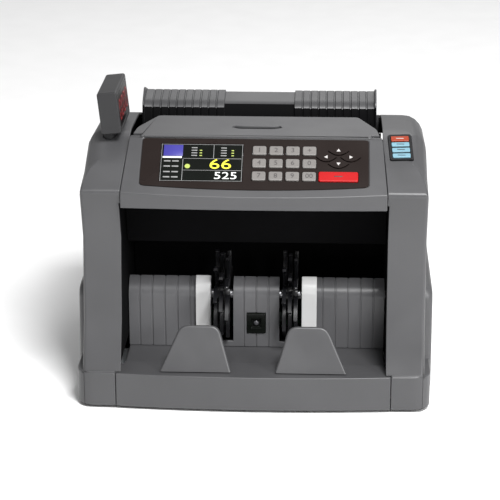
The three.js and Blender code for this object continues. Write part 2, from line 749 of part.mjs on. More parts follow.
function buildRearCover() {
  const half = mouthHalf - 4 * clear;
  const startZ = rearTopZAt(trayGapY);
  const bendZ = rearTopZ - 40;
  const outer = [[rearY - 40, coverFootZ + wall + clear, 1], [rearY, coverFootZ, 1],
    [rearY, bendZ, 12], [rearTopY, rearTopZ, 16], [trayGapY, startZ, 1], [trayGapY, startZ - 14, 1]];
  const inner = [[-50, -10], [rearY - wall, -10], [rearY - wall, bendZ - 0.4, 11],
    [rearTopY - 0.8, rearTopZ - wall, 14], [trayGapY + wall, startZ - wall, 1],
    [trayGapY + wall, startZ - 20], [-50, startZ - 20]];
  const shell = cut(prism('x', outer, -half, half, 0, 6), prism('x', inner, -half - 1, half + 1, 0, 6));
  const plan = join(prism('z', housingPlan(clear), lipZ - fasciaHeight + 1.5, 260),
    box(-half, half, 0, rearY + 10, -20, lipZ - fasciaHeight + 1.7));
  const inletHole = box(inletX - inletHalfX + 1.5 - clear, inletX + inletHalfX - 1.5 + clear,
    rearY - 22, rearY + 8, inletZ - inletHalfZ + 1.5 - clear, inletZ + inletHalfZ - 1.5 + clear);
  const switchHole = box(switchX - switchHalfX - runGap, switchX + switchHalfX + runGap,
    rearY - 22, rearY + 8, inletZ - switchHalfZ - runGap, inletZ + switchHalfZ + runGap);
  const knobHole = new THREE.CylinderGeometry(3 + runGap, 3 + runGap, 40, 24);
  knobHole.rotateX(Math.PI / 2).translate(0, knobY, rearTopZAt(knobY));
  const vents = [];
  for (let i = 0; i < 9; i += 1) {
    vents.push(prism('y', rectangle(24 + i * 8, 27 + i * 8, 60, 96, 1.4), rearY - 12, rearY + 8, 0, 2));
  }
  piece('rear_cover', cut(common(shell, plan), inletHole, switchHole, knobHole, ...vents), greyShell);
}

function buildRearParts() {
  const flange = prism('y', rectangle(inletX - inletHalfX - 1, inletX + inletHalfX + 1,
    inletZ - inletHalfZ - 1, inletZ + inletHalfZ + 1, 3), rearY + 0.3, rearY + 2.2);
  const barrel = prism('y', rectangle(inletX - inletHalfX + 1.5, inletX + inletHalfX - 1.5,
    inletZ - inletHalfZ + 1.5, inletZ + inletHalfZ - 1.5, 2), rearY - 18, rearY + 1);
  const socket = prism('y', rectangle(inletX - 11, inletX + 11, inletZ - 7, inletZ + 7, 2.5),
    rearY - 14, rearY + 5);
  const pins = [-6, 0, 6].map((dx) => box(inletX + dx - 1, inletX + dx + 1, rearY - 15, rearY - 3,
    inletZ - 2, inletZ + 2));
  piece('power_inlet', join(cut(join(flange, barrel), socket), ...pins), darkPlastic);
  const rocker = prism('x', [[-8, -8, 2], [1.6, -9, 1], [-0.2, 0, 3], [2.2, 9, 1], [-8, 8, 2]],
    -switchHalfX, switchHalfX);
  const switchMesh = piece('rocker_switch', rocker, redPlastic);
  switchMesh.position.set(switchX, rearY - 0.5, inletZ);
  const knob = new THREE.CylinderGeometry(knobR, knobR + 0.8, 9, 28);
  const top = rearTopZAt(knobY - knobR - 0.8) + runGap;
  knob.rotateX(Math.PI / 2).translate(0, knobY, top + 4.5);
  const stem = new THREE.CylinderGeometry(3, 3, 24, 20).rotateX(Math.PI / 2).translate(0, knobY, top - 8);
  piece('feed_gap_knob', join(knob, stem), darkPlastic);
}

// ---------------------------------------------------------------- base tray, front panel and feet
function frontPlan(shrink) {
  const half = seamHalf - clear - shrink;
  const deep = mouthHalf - clear - shrink;
  const shape = new THREE.Shape();
  const side = sideFrontY + shrink;
  shape.moveTo(-half, side);
  shape.quadraticCurveTo(0, 2 * (frontY + shrink) - side, half, side);
  shape.lineTo(half, ledgeRearY - 4);
  shape.lineTo(deep, ledgeRearY - 4);
  shape.lineTo(deep, wallY + 8);
  shape.lineTo(-deep, wallY + 8);
  shape.lineTo(-deep, ledgeRearY - 4);
  shape.lineTo(-half, ledgeRearY - 4);
  shape.closePath();
  return shape;
}

function buildBase() {
  const outer = prism('z', frontPlan(0), coverFootZ, baseLipZ - clear, 0, 12);
  const low = prism('z', frontPlan(wall), -5, floorZ - wall, 0, 12);
  const behind = box(-mouthHalf + 4, mouthHalf - 4, wallY, wallY + 20, -5, floorZ - wall);
  const ledge = common(prism('z', frontPlan(wall), 0, baseLipZ - wall, 0, 12),
    box(-200, 200, -200, ledgeRearY - wall, 0, 60));
  const floor = box(-200, 200, ledgeRearY, 0, floorZ, 60);
  const underside = box(-200, 200, sideFrontY + 6, 0, -5, footHeight + 2 * clear + plate);
  piece('front_panel', cut(outer, low, behind, ledge, floor, underside), greyShell);
  const trayLow = footHeight + clear;
  const trayHalfX = mouthHalf - 1;
  const tray = cut(box(-trayHalfX - 18, trayHalfX + 18, wallY + 12, rearY - wall - 6, trayLow, baseRimZ),
    box(-trayHalfX - 16, trayHalfX + 16, wallY + 14, rearY - wall - 8, trayLow + plate, 40));
  const tongue = box(-100, 100, frontY + 14, wallY + 13, trayLow, trayLow + plate);
  const ears = [-1, 1].map((s) => box(s * footX - 14, s * footX + 14, footFrontY - 14, wallY + 13, trayLow,
    trayLow + plate));
  const links = box(-footX, footX, footFrontY - 6, footFrontY + 26, trayLow, trayLow + plate);
  piece('base_tray', join(tray, tongue, ...ears, links), steel);
  for (const [side, x] of [['left', -footX], ['right', footX]]) {
    for (const [end, y] of [['front', footFrontY], ['rear', footRearY]]) {
      const foot = new THREE.CylinderGeometry(footR - 1, footR, footHeight, 24).rotateX(-Math.PI / 2);
      piece(`foot_${end}_${side}`, foot.translate(x, y, footHeight / 2), rubber);
    }
  }
}

// ---------------------------------------------------------------- stacker: wall, guides, window, stops

function wallProfile(sink) {
  return [[wallY + sink, floorZ + clear], [wallY + wallThick, floorZ + clear],
    [wallY + wallThick, wallBendZ - 1, 5], [wallY + 12, wallTopZ - wallThick, 0],
    [wallY + 12, wallTopZ - sink, 0.5], [wallY + sink, wallBendZ, 6]];
}

function buildStacker() {
  const half = mouthHalf - clear;
  const slab = prism('x', wallProfile(0), -half, half, 0, 3);
  const tools = [];
  const sunk = prism('x', wallProfile(grooveDepth), -half - 2, half + 2, 0, 3);
  const shell = cut(prism('x', wallProfile(-1), -half - 1, half + 1, 0, 3), sunk);
  const ribs = [];
  for (let i = 0; i < 5; i += 1) {
    ribs.push(ribFirst + i * ribPitch, -ribFirst - i * ribPitch);
  }
  for (const x of [...ribs, -10.4, 0, 10.4]) {
    tools.push(common(shell, box(x - 0.6, x + 0.6, wallY - 5, wallY + 20, floorZ - 5, wallTopZ + 5)));
  }
  for (const side of [-1, 1]) {
    tools.push(box(Math.min(side * slotInner, side * slotOuter), Math.max(side * slotInner, side * slotOuter),
      wallY - 5, wallY + 30, slotFootZ, wallTopZ + 10));
  }
  tools.push(box(-windowHalf - clear, windowHalf + clear, wallY - 3, wallY + 9, windowLowZ - clear,
    windowHighZ + clear));
  piece('stacker_wall', cut(slab, ...tools), greyShell);
  piece('sensor_window', cut(box(-windowHalf, windowHalf, wallY - 1, wallY + 6, windowLowZ, windowHighZ),
    box(-4, 4, wallY - 3, wallY + 1, windowLowZ + 5, windowHighZ - 5)), darkPlastic);
  for (const [side, s] of [['left', -1], ['right', 1]]) {
    const low = Math.min(s * (slotOuter + clear), s * (guideOuter - clear));
    const high = Math.max(s * (slotOuter + clear), s * (guideOuter - clear));
    const profile = [[wallY - 3, floorZ + clear], [wallY - clear, floorZ + clear],
      [wallY - clear, wallBendZ - 2, 3], [wallY + 6, wallTopZ + 1], [wallY + 5, wallTopZ + 3],
      [wallY - 2, wallBendZ + 5, 3], [wallY - 3, wallBendZ, 2]];
    piece(`guide_plate_${side}`, prism('x', profile, low, high), whitePlate);
  }
  buildStops();
}

const stopLean = rad(22);

function buildStops() {
  for (const [side, s] of [['left', -1], ['right', 1]]) {
    const shape = [[s * stopX - s * stopFoot / 2, -2], [s * stopX + s * stopFoot / 2, -2],
      [s * (stopX - 3) + s * stopTop / 2, stopHeight, 7], [s * (stopX - 3) - s * stopTop / 2, stopHeight, 7]];
    const body = prism('z', s > 0 ? shape : shape.reverse(), -stopDepth, 0, 2, 5, 3);
    const world = solid(geometryOf(body).clone().rotateX(Math.PI / 2 - stopLean)
      .translate(0, stopY + 2, baseLipZ));
    const trimmed = cut(world, box(-200, 200, -200, 0, -50, baseLipZ + clear));
    piece(`stacker_stop_${side}`, trimmed, greyShell);
  }
}

// ---------------------------------------------------------------- frame plates, chute, shafts and drive
const plateX = sideFrameX;
const shaftEnd = plateX + plate + 4;
const pulleyEnd = pulleyX + beltWidth + 2;

function framePlate() {
  const gap = wall + 1.6;
  const sheet = prism('x', inset(sideProfile, gap), plateX, plateX + plate);
  const bore = (radius, y, z) => rod(radius, plateX - 5, plateX + 10, y, z, 24);
  return cut(sheet,
    bore(shaftR + runGap, impellerY, impellerZ),
    bore(shaftR + runGap, feedY, feedZ),
    bore(shaftR + runGap, retardY, retardZ),
    box(plateX - 5, plateX + 10, -200, wallY + 16, -10, baseLipZ + 6),
    box(plateX - 5, plateX + 10, rearY - 14, 200, -10, baseRimZ + clear),
    box(plateX - 5, plateX + 10, -200, 200, -10, footHeight + clear + plate + clear));
}

function buildFrame() {
  const left = mirrored(framePlate());
  const motorBore = rod(motorShaftR + 2, plateX - 5, plateX + 10, motorY, motorZ, 24);
  piece('right_frame_plate', cut(framePlate(), motorBore), steel);
  piece('left_frame_plate', left, steel);
  const half = mouthHalf - clear;
  const top = lipZ - fasciaHeight - 5;
  const low = impellerZ + impellerR + 12;
  const rearFoot = impellerY + impellerR + 4;
  const outside = prism('x', [[wallY + 1, low], [rearFoot, low], [rearFoot, chuteFootZ],
    [rearFoot + plate, chuteFootZ], [rearFoot + plate, low], [feedY + 8, top], [wallY - 9, top]],
  -half, half);
  const inside = prism('x', [[wallY + 3, low - 5], [rearFoot - 0.01, low - 5], [rearFoot - 0.01, low],
    [feedY + 6, top], [feedY + 6, top + 5], [wallY - 7, top + 5], [wallY - 7, top], [wallY + 3, low]],
  -half + plate, half - plate);
  piece('note_chute', cut(outside, inside), darkPlastic);
}

// A toothless drive pulley with two flanges, on the end of its shaft: [radius, x] points.
function pulleyEndProfile(radius, shaft) {
  return [[shaft, pulleyX - 1.5], [radius + 3, pulleyX - 1.5], [radius + 3, pulleyX], [radius, pulleyX],
    [radius, pulleyEnd], [radius + 3, pulleyEnd], [radius + 3, pulleyEnd + 1.5], [0, pulleyEnd + 1.5]];
}

function impeller() {
  const blades = 8;
  const hub = 11;
  const step = 2 * Math.PI / blades;
  const at = (radius, angle) => [radius * Math.cos(angle), radius * Math.sin(angle)];
  const shape = new THREE.Shape();
  shape.moveTo(...at(hub, 0));
  for (let i = 0; i < blades; i += 1) {
    const a = i * step;
    shape.quadraticCurveTo(...at(impellerR * 0.74, a + 0.02), ...at(impellerR, a + 0.62));
    shape.lineTo(...at(impellerR - 1.6, a + 0.68));
    shape.quadraticCurveTo(...at(impellerR * 0.62, a + 0.3), ...at(hub, a + 0.45));
    shape.lineTo(...at(hub, a + step));
  }
  const bore = new THREE.Path();
  bore.absarc(0, 0, shaftR + 0.3, 0, 2 * Math.PI, true);
  shape.holes.push(bore);
  return prism('x', shape, -impellerWidth / 2, impellerWidth / 2, 0, 5);
}

function buildImpellers() {
  const shaft = turned([[0, -shaftEnd], [shaftR, -shaftEnd], ...pulleyEndProfile(bigPulleyR, shaftR)],
    impellerY, impellerZ, 24);
  piece('impeller_shaft', shaft, steel);
  piece('impeller_left', impeller().translate(-impellerX, impellerY, impellerZ), darkPlastic);
  piece('impeller_right', impeller().translate(impellerX, impellerY, impellerZ), darkPlastic);
}

function buildFeed() {
  const rollers = [-feedRollerX, feedRollerX].flatMap((x) => [
    [shaftR, x - feedRollerWidth / 2], [feedRollerR - 1, x - feedRollerWidth / 2],
    [feedRollerR, x - feedRollerWidth / 2 + 1], [feedRollerR, x + feedRollerWidth / 2 - 1],
    [feedRollerR - 1, x + feedRollerWidth / 2], [shaftR, x + feedRollerWidth / 2]]);
  const shaft = turned([[0, -shaftEnd], [shaftR, -shaftEnd], ...rollers,
    ...pulleyEndProfile(bigPulleyR, shaftR)], feedY, feedZ, 24);
  piece('feed_shaft', shaft, rubber);
  const retard = turned([[0, -shaftEnd], [shaftR, -shaftEnd], [shaftR, -58], [retardR, -58], [retardR, 58],
    [shaftR, 58], [shaftR, shaftEnd], [0, shaftEnd]], retardY, retardZ, 24);
  piece('retard_roller', retard, rubber);
}

// The convex hull of some circles given as [y, z, radius], as an outline.
function hullOf(circles, grow) {
  const points = [];
  for (const [y, z, radius] of circles) {
    for (let i = 0; i < 24; i += 1) {
      const a = i * Math.PI / 12;
      points.push([y + (radius + grow) * Math.cos(a), z + (radius + grow) * Math.sin(a)]);
    }
  }
  points.sort((p, q) => p[0] - q[0] || p[1] - q[1]);
  const turn = (o, a, b) => (a[0] - o[0]) * (b[1] - o[1]) - (a[1] - o[1]) * (b[0] - o[0]);
  const chain = (list) => {
    const kept = [];
    for (const point of list) {
      while (kept.length > 1 && turn(kept[kept.length - 2], kept[kept.length - 1], point) <= 1e-6) {
        kept.pop();
      }
      kept.push(point);
    }
    return kept.slice(0, -1);
  };
  return [...chain(points), ...chain([...points].reverse())];
}

function buildDrive() {
  const body = turned([[0, plateX - 2 - motorLength], [motorR - 1, plateX - 2 - motorLength],
    [motorR, plateX - 1 - motorLength], [motorR, plateX - 4], [motorR - 1, plateX - 3], [9, plateX - 3],
    [9, plateX - clear], [0, plateX - clear]], motorY, motorZ, 32);
  piece('main_motor', body, steel);
  const pulley = turned([[0, plateX + 0.5], [motorShaftR, plateX + 0.5], ...pulleyEndProfile(smallPulleyR,
    motorShaftR)], motorY, motorZ, 24);
  piece('motor_pulley', pulley, steel);
  const circles = [[impellerY, impellerZ, bigPulleyR], [feedY, feedZ, bigPulleyR],
    [motorY, motorZ, smallPulleyR]];
  const low = pulleyX + 1;
  const belt = cut(prism('x', hullOf(circles, 0.4 + beltThick), low, low + beltWidth),
    prism('x', hullOf(circles, 0.4), low - 5, low + beltWidth + 5));
  piece('drive_belt', belt, rubber);
}

function buildBoard() {
  const boardZ = 24;
  const board = join(box(-84, 60, 6, 100, boardZ, boardZ + 1.6),
    box(-70, -30, 60, 92, boardZ + 1, boardZ + 33),
    box(-12, 6, 30, 48, boardZ + 1, boardZ + 4), box(20, 52, 20, 27, boardZ + 1, boardZ + 10),
    ...[[-78, 12], [54, 12], [-78, 94], [54, 94]].map(([x, y]) => box(x - 3, x + 3, y - 3, y + 3,
      footHeight + clear + plate + clear, boardZ + 1)));
  piece('main_board', board, boardGreen);
}

buildCovers();
buildPod();
piece('top_housing', topHousing(), greyShell);
buildPanel();
buildSideKeypad();
buildDeck();
buildTray();
buildRearCover();
buildRearParts();
buildBase();
buildStacker();
buildFrame();
buildImpellers();
buildFeed();
buildDrive();
buildBoard();

export default machine;
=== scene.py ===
"""Looks of a desktop banknote counter: moulded shells, panel, keys, display, wheels, drive and stage."""

import json
import math

import bpy
from mathutils import Matrix, Vector

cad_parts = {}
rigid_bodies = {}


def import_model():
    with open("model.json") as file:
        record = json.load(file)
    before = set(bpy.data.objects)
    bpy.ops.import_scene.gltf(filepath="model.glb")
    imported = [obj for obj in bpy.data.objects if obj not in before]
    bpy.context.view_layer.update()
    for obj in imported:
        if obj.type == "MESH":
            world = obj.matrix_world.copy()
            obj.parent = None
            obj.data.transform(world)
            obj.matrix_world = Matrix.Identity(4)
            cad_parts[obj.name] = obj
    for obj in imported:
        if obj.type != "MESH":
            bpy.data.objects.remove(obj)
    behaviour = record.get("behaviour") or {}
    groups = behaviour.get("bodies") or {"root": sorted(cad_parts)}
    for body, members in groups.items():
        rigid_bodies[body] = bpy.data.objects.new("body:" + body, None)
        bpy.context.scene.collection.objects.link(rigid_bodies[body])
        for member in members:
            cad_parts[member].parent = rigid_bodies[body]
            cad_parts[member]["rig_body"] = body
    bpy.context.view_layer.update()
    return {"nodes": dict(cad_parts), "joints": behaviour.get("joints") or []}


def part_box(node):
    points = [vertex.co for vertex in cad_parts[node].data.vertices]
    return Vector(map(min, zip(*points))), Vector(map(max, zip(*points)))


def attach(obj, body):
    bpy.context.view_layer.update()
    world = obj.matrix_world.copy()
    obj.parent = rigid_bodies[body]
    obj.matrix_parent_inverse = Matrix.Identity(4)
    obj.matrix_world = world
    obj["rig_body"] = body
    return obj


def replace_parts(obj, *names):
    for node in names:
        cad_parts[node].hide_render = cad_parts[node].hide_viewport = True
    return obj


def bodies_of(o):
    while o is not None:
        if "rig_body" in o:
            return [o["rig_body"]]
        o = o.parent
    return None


bl_info = {
    "name": "Banknote Counter",
    "version": (1, 0, 0),
    "blender": (4, 5, 0),
    "location": "3D View > Sidebar > Counter",
    "description": "Builds the pieces of a desktop banknote counter round its frame",
    "category": "Object",
}

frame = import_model()
NODES = frame["nodes"]
JOINTS = {joint["name"]: joint for joint in frame["joints"]}

PANEL_KEYS = ["key_%02d" % number for number in range(1, 13)]
KEY_DIGITS = ["1", "2", "3", "+", "4", "5", "6", "0", "7", "8", "9", "00"]
ARROW_TURNS = {"arrow_key_up": 0, "arrow_key_left": 90, "arrow_key_down": 180, "arrow_key_right": 270}
SIDE_KEYS = ["side_key_mode", "side_key_1", "side_key_2", "side_key_3"]

CAPITAL_SHARE = 0.7       # height of a digit as a share of its font size
PRINT_THICK = 0.00008     # thickness of a printed mark
PRINT_EDGE = 0.00002      # rounding along a printed mark
PRINT_LIFT = 0.00001      # gap between a mark and the key under it
BAR_THICK = 0.00012       # thickness of a bar of the pod's figures
BAR_EDGE = 0.00003
POD_FIGURES = 4
FINGER_TURNS = (0.0, 13.0, 26.0)
LEAF_SPACING = 0.0048
LEAF_SHARE = 0.24         # width of one leaf as a share of the finger wheel
HUB_RADIUS = 0.0115
ROLLER_SHAFT_RADIUS = 0.0042
ROLLER_END = 0.105        # beyond this distance from the middle the shaft is bare
TRAY_BEND_DROP = 0.0125   # from the top of the rear tray down to its bend
SCREW_INSET = 0.014
SCREW_HEIGHTS = (0.054, 0.118)
LOOK_AT_HEIGHT = 0.110
LENS = 133.2
LENS_SHIFT = (-0.0174, -0.0276)
WORLD_STRENGTH = 0.42


# ---------------------------------------------------------------- sizes and colours
def colour_prop(name, description, default):
    return bpy.props.FloatVectorProperty(
        name=name, description=description, subtype="COLOR", size=3, min=0.0, max=1.0, default=default)


def length_prop(name, description, default):
    return bpy.props.FloatProperty(
        name=name, description=description, default=default, min=0.0, subtype="DISTANCE", unit="LENGTH")


class CounterShellSettings(bpy.types.PropertyGroup):
    shell: colour_prop("Shell", "Colour of the moulded shells", (0.053, 0.053, 0.0555))
    dark: colour_prop("Dark plastic", "Colour of the black mouldings", (0.009, 0.009, 0.010))
    edge: length_prop("Edge radius", "Rounding along the edges of the shells", 0.0006)
    grain: length_prop("Grain", "Size of the texture moulded into the shells", 0.0009)


class CounterPanelSettings(bpy.types.PropertyGroup):
    film: colour_prop("Film", "Colour of the printed panel film", (0.012, 0.008, 0.007))
    keys: colour_prop("Keys", "Colour of the panel keys", (0.142, 0.133, 0.127))
    start: colour_prop("Start key", "Colour of the start key", (0.33, 0.005, 0.006))
    legend: length_prop("Legend height", "Height of the digits on the keys", 0.0044)
    readout: bpy.props.IntProperty(name="Count", description="Number on the display",
                                   default=66, min=0, max=99)


class CounterStageSettings(bpy.types.PropertyGroup):
    turn: bpy.props.FloatProperty(name="Turn", description="How far the camera stands to the right",
                                  default=math.radians(2.3), subtype="ANGLE", unit="ROTATION")
    rise: bpy.props.FloatProperty(name="Rise", description="Height angle of the camera",
                                  default=math.radians(19), subtype="ANGLE", unit="ROTATION")
    distance: length_prop("Distance", "Distance of the camera from the machine", 1.6)
    key_power: bpy.props.FloatProperty(name="Key light", description="Power of the main softbox",
                                       default=62.0, min=0.0, unit="POWER")


# ---------------------------------------------------------------- materials
def add_node(tree, kind, **values):
    node = tree.nodes.new(kind)
    for key, value in values.items():
        if key in node.inputs:
            node.inputs[key].default_value = value
        else:
            setattr(node, key, value)
    return node


def start_material(name, roughness, metallic=0.0, coat=0.0, shine=0.5):
    made = bpy.data.materials.new(name)
    made.use_nodes = True
    tree = made.node_tree
    tree.nodes.clear()
    shader = add_node(tree, "ShaderNodeBsdfPrincipled", Metallic=metallic)
    shader.inputs["Roughness"].default_value = roughness
    shader.inputs["Coat Weight"].default_value = coat
    shader.inputs["Specular IOR Level"].default_value = shine
    out = add_node(tree, "ShaderNodeOutputMaterial")
    tree.links.new(shader.outputs[0], out.inputs["Surface"])
    return made, tree, shader


def place_node(tree, stretch=(1.0, 1.0, 1.0)):
    coord = add_node(tree, "ShaderNodeTexCoord")
    mapping = add_node(tree, "ShaderNodeMapping")
    mapping.inputs["Scale"].default_value = stretch
    tree.links.new(coord.outputs["Object"], mapping.inputs["Vector"])
    return mapping


def noise_node(tree, place, scale, detail=2.0):
    noise = add_node(tree, "ShaderNodeTexNoise", Scale=scale, Detail=detail)
    tree.links.new(place.outputs[0], noise.inputs["Vector"])
    return noise


def spread_node(tree, source, low, high):
    spread = add_node(tree, "ShaderNodeMapRange")
    spread.inputs["From Min"].default_value = 0.3
    spread.inputs["From Max"].default_value = 0.7
    spread.inputs["To Min"].default_value = low
    spread.inputs["To Max"].default_value = high
    tree.links.new(source, spread.inputs["Value"])
    return spread


def tone_node(tree, factor, first, second):
    mix = add_node(tree, "ShaderNodeMix", data_type="RGBA")
    tree.links.new(factor, mix.inputs["Factor"])
    for socket in mix.inputs:
        if socket.type == "RGBA" and socket.name == "A":
            socket.default_value = (*first, 1.0)
        if socket.type == "RGBA" and socket.name == "B":
            socket.default_value = (*second, 1.0)
    return [s for s in mix.outputs if s.type == "RGBA"][0]


def worn_edges(tree, colour, place, pale, amount):
    """Pale rubbing along the edges, broken up by noise."""
    soft = add_node(tree, "ShaderNodeBevel", samples=4)
    soft.inputs["Radius"].default_value = 0.0009
    sharp = add_node(tree, "ShaderNodeNewGeometry")
    dot = add_node(tree, "ShaderNodeVectorMath", operation="DOT_PRODUCT")
    tree.links.new(soft.outputs[0], dot.inputs[0])
    tree.links.new(sharp.outputs["Normal"], dot.inputs[1])
    edge = add_node(tree, "ShaderNodeMapRange")
    edge.inputs["From Min"].default_value = 0.99
    edge.inputs["From Max"].default_value = 0.85
    edge.inputs["To Max"].default_value = amount
    tree.links.new(dot.outputs["Value"], edge.inputs["Value"])
    broken = spread_node(tree, noise_node(tree, place, 160.0, 4.0).outputs[0], 0.1, 1.0)
    share = add_node(tree, "ShaderNodeMath", operation="MULTIPLY")
    tree.links.new(edge.outputs[0], share.inputs[0])
    tree.links.new(broken.outputs[0], share.inputs[1])
    mix = add_node(tree, "ShaderNodeMix", data_type="RGBA")
    tree.links.new(share.outputs[0], mix.inputs["Factor"])
    colours = [s for s in mix.inputs if s.type == "RGBA"]
    tree.links.new(colour, colours[0])
    colours[1].default_value = (*pale, 1.0)
    return [s for s in mix.outputs if s.type == "RGBA"][0]


def surface(name, colour, roughness, grain=0.0008, depth=0.00006, tone=0.07, wear=0.0, metallic=0.0,
            coat=0.0, stretch=(1.0, 1.0, 1.0), glow=0.0, strength=0.4, shine=0.5):
    """A material with broad tone, fine grain, uneven roughness and, where asked, worn edges."""
    made, tree, shader = start_material(name, roughness, metallic, coat, shine)
    place = place_node(tree, stretch)
    broad = noise_node(tree, place, 22.0, 3.0)
    fine = noise_node(tree, place, 1.0 / grain, 2.0)
    factor = spread_node(tree, broad.outputs[0], 0.0, 1.0)
    paint = tone_node(tree, factor.outputs[0], [c * (1 - tone) for c in colour],
                      [min(1.0, c * (1 + tone)) for c in colour])
    if wear:
        pale = [min(1.0, c * 1.6 + 0.03) for c in colour]
        paint = worn_edges(tree, paint, place, pale, wear)
    tree.links.new(paint, shader.inputs["Base Color"])
    uneven = spread_node(tree, broad.outputs[0], max(0.02, roughness - 0.06), min(1.0, roughness + 0.06))
    tree.links.new(uneven.outputs[0], shader.inputs["Roughness"])
    bump = add_node(tree, "ShaderNodeBump", Strength=strength, Distance=depth)
    tree.links.new(fine.outputs[0], bump.inputs["Height"])
    tree.links.new(bump.outputs[0], shader.inputs["Normal"])
    if glow:
        tree.links.new(paint, shader.inputs["Emission Color"])
        shader.inputs["Emission Strength"].default_value = glow
    return made


FINISHES = {}


def finish(name):
    """The named finish, made on first use from the settings."""
    if name not in FINISHES:
        FINISHES[name] = FINISH_MAKERS[name]()
    return FINISHES[name]


def shells():
    return bpy.context.scene.counter_shell


def panel():
    return bpy.context.scene.counter_panel


FINISH_MAKERS = {
    "shell": lambda: surface("moulded_grey_plastic", shells().shell, 0.42, grain=shells().grain, wear=0.35),
    "wall": lambda: surface("stacker_wall_plastic", [c * 1.85 for c in shells().shell], 0.34,
                            grain=shells().grain, wear=0.3),
    "pod_shell": lambda: surface("pod_plastic", [c * 0.42 for c in shells().shell], 0.45,
                                 grain=shells().grain, wear=0.3, shine=0.3),
    "tray": lambda: surface("tray_grey_plastic", [c * 0.82 for c in shells().shell], 0.38,
                            grain=shells().grain, wear=0.3),
    "dark": lambda: surface("black_moulding", shells().dark, 0.5, tone=0.25, wear=0.2, shine=0.3),
    # painted shade: a near-black, barely reflective colour for the chute, frame plates and tray foot, which
    # lie in shade
    "painted_shade": lambda: surface("painted_shade_black", (0.0025, 0.0025, 0.0028), 0.85, tone=0.3, shine=0.06),
    "film": lambda: surface("printed_film", panel().film, 0.30, grain=0.0004, depth=0.00002, tone=0.05,
                            shine=0.22),
    "glass": lambda: surface("display_window", (0.004, 0.005, 0.004), 0.16, grain=0.003, depth=0.00001,
                             tone=0.2, shine=0.2),
    "pod_glass": lambda: surface("pod_window_tint", (0.004, 0.003, 0.003), 0.3, grain=0.003, depth=0.00001,
                                 tone=0.2, shine=0.03),
    "key": lambda: surface("keycap_plastic", panel().keys, 0.42, grain=0.0005, depth=0.00003, wear=0.2),
    "start": lambda: surface("start_key_plastic", panel().start, 0.38, grain=0.0005, depth=0.00003, wear=0.15,
                             shine=0.25),
    "orange": lambda: surface("orange_key_plastic", (0.26, 0.030, 0.008), 0.40, grain=0.0005, wear=0.15),
    "blue": lambda: surface("pale_blue_key_plastic", (0.15, 0.29, 0.36), 0.40, grain=0.0005, wear=0.15),
    "white": lambda: surface("milky_guide_plastic", (0.55, 0.55, 0.55), 0.34, depth=0.00004, tone=0.03),
    "wheel": lambda: surface("finger_wheel_rubber", (0.006, 0.006, 0.007), 0.30, depth=0.00008, tone=0.3,
                             shine=0.35),
    "rubber": lambda: surface("roller_rubber", (0.016, 0.016, 0.016), 0.82, grain=0.0006, depth=0.0002,
                              tone=0.3),
    "steel": lambda: surface("brushed_steel", (0.46, 0.46, 0.48), 0.34, grain=0.0012, depth=0.00005,
                             metallic=1.0, stretch=(0.08, 1.0, 1.0)),
    "zinc": lambda: surface("zinc_plate", (0.42, 0.43, 0.44), 0.42, grain=0.004, depth=0.00003, tone=0.14,
                            metallic=1.0),
    "board": lambda: surface("solder_mask", (0.010, 0.090, 0.030), 0.36, grain=0.002, depth=0.0001, tone=0.3),
    "ink": lambda: surface("legend_ink", (0.035, 0.030, 0.030), 0.5, grain=0.0003, depth=0.00001, tone=0.1),
    "pale_ink": lambda: surface("pale_legend_ink", (0.42, 0.40, 0.39), 0.5, grain=0.0003, depth=0.00001,
                                tone=0.1),
    "lit_white": lambda: surface("lit_white", (0.60, 0.62, 0.60), 0.4, grain=0.0004, tone=0.05, glow=0.35),
    "lit_yellow": lambda: surface("lit_yellow", (0.62, 0.58, 0.04), 0.4, grain=0.0004, tone=0.05, glow=0.4),
    "lit_blue": lambda: surface("lit_blue", (0.030, 0.026, 0.19), 0.4, grain=0.0004, tone=0.08, glow=0.45),
    "lit_green": lambda: surface("lit_green", (0.30, 0.36, 0.08), 0.4, grain=0.0004, tone=0.05, glow=0.3),
    "lit_red": lambda: surface("lit_red", (0.16, 0.004, 0.006), 0.4, grain=0.0004, tone=0.08, glow=0.3),
    "dim_line": lambda: surface("dim_display_line", (0.20, 0.20, 0.20), 0.4, grain=0.0004, tone=0.05,
                                glow=0.25),
    "lens": lambda: surface("sensor_lens_glass", (0.05, 0.05, 0.055), 0.12, grain=0.001, depth=0.00001,
                            tone=0.1, coat=0.4),
    "floor": lambda: surface("pale_floor", (0.90, 0.90, 0.90), 0.75, grain=0.004, depth=0.00005, tone=0.01),
}


# ---------------------------------------------------------------- modelling helpers
def deselect():
    if bpy.context.object and bpy.context.object.mode != "OBJECT":
        bpy.ops.object.mode_set(mode="OBJECT")
    bpy.ops.object.select_all(action="DESELECT")


def pick(piece):
    deselect()
    piece.select_set(True)
    bpy.context.view_layer.objects.active = piece


def apply_modifier(piece, kind, **values):
    pick(piece)
    modifier = piece.modifiers.new(kind.lower(), kind)
    for key, value in values.items():
        setattr(modifier, key, value)
    bpy.ops.object.modifier_apply(modifier=modifier.name)


def settle(piece, matrix=None):
    """Moves the place of a piece into its mesh."""
    pick(piece)
    if matrix is not None:
        piece.matrix_world = matrix @ piece.matrix_world
        bpy.context.view_layer.update()
    bpy.ops.object.transform_apply(location=True, rotation=True, scale=True)
    return piece


def dress(piece, name, coat, body):
    piece.name = name
    piece.data.name = name
    piece.data.materials.clear()
    piece.data.materials.append(finish(coat))
    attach(piece, body)
    return piece


def smooth(piece, angle=35):
    pick(piece)
    bpy.ops.object.shade_smooth_by_angle(angle=math.radians(angle), keep_sharp_edges=False)


def body_of(node):
    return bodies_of(NODES[node])[0]


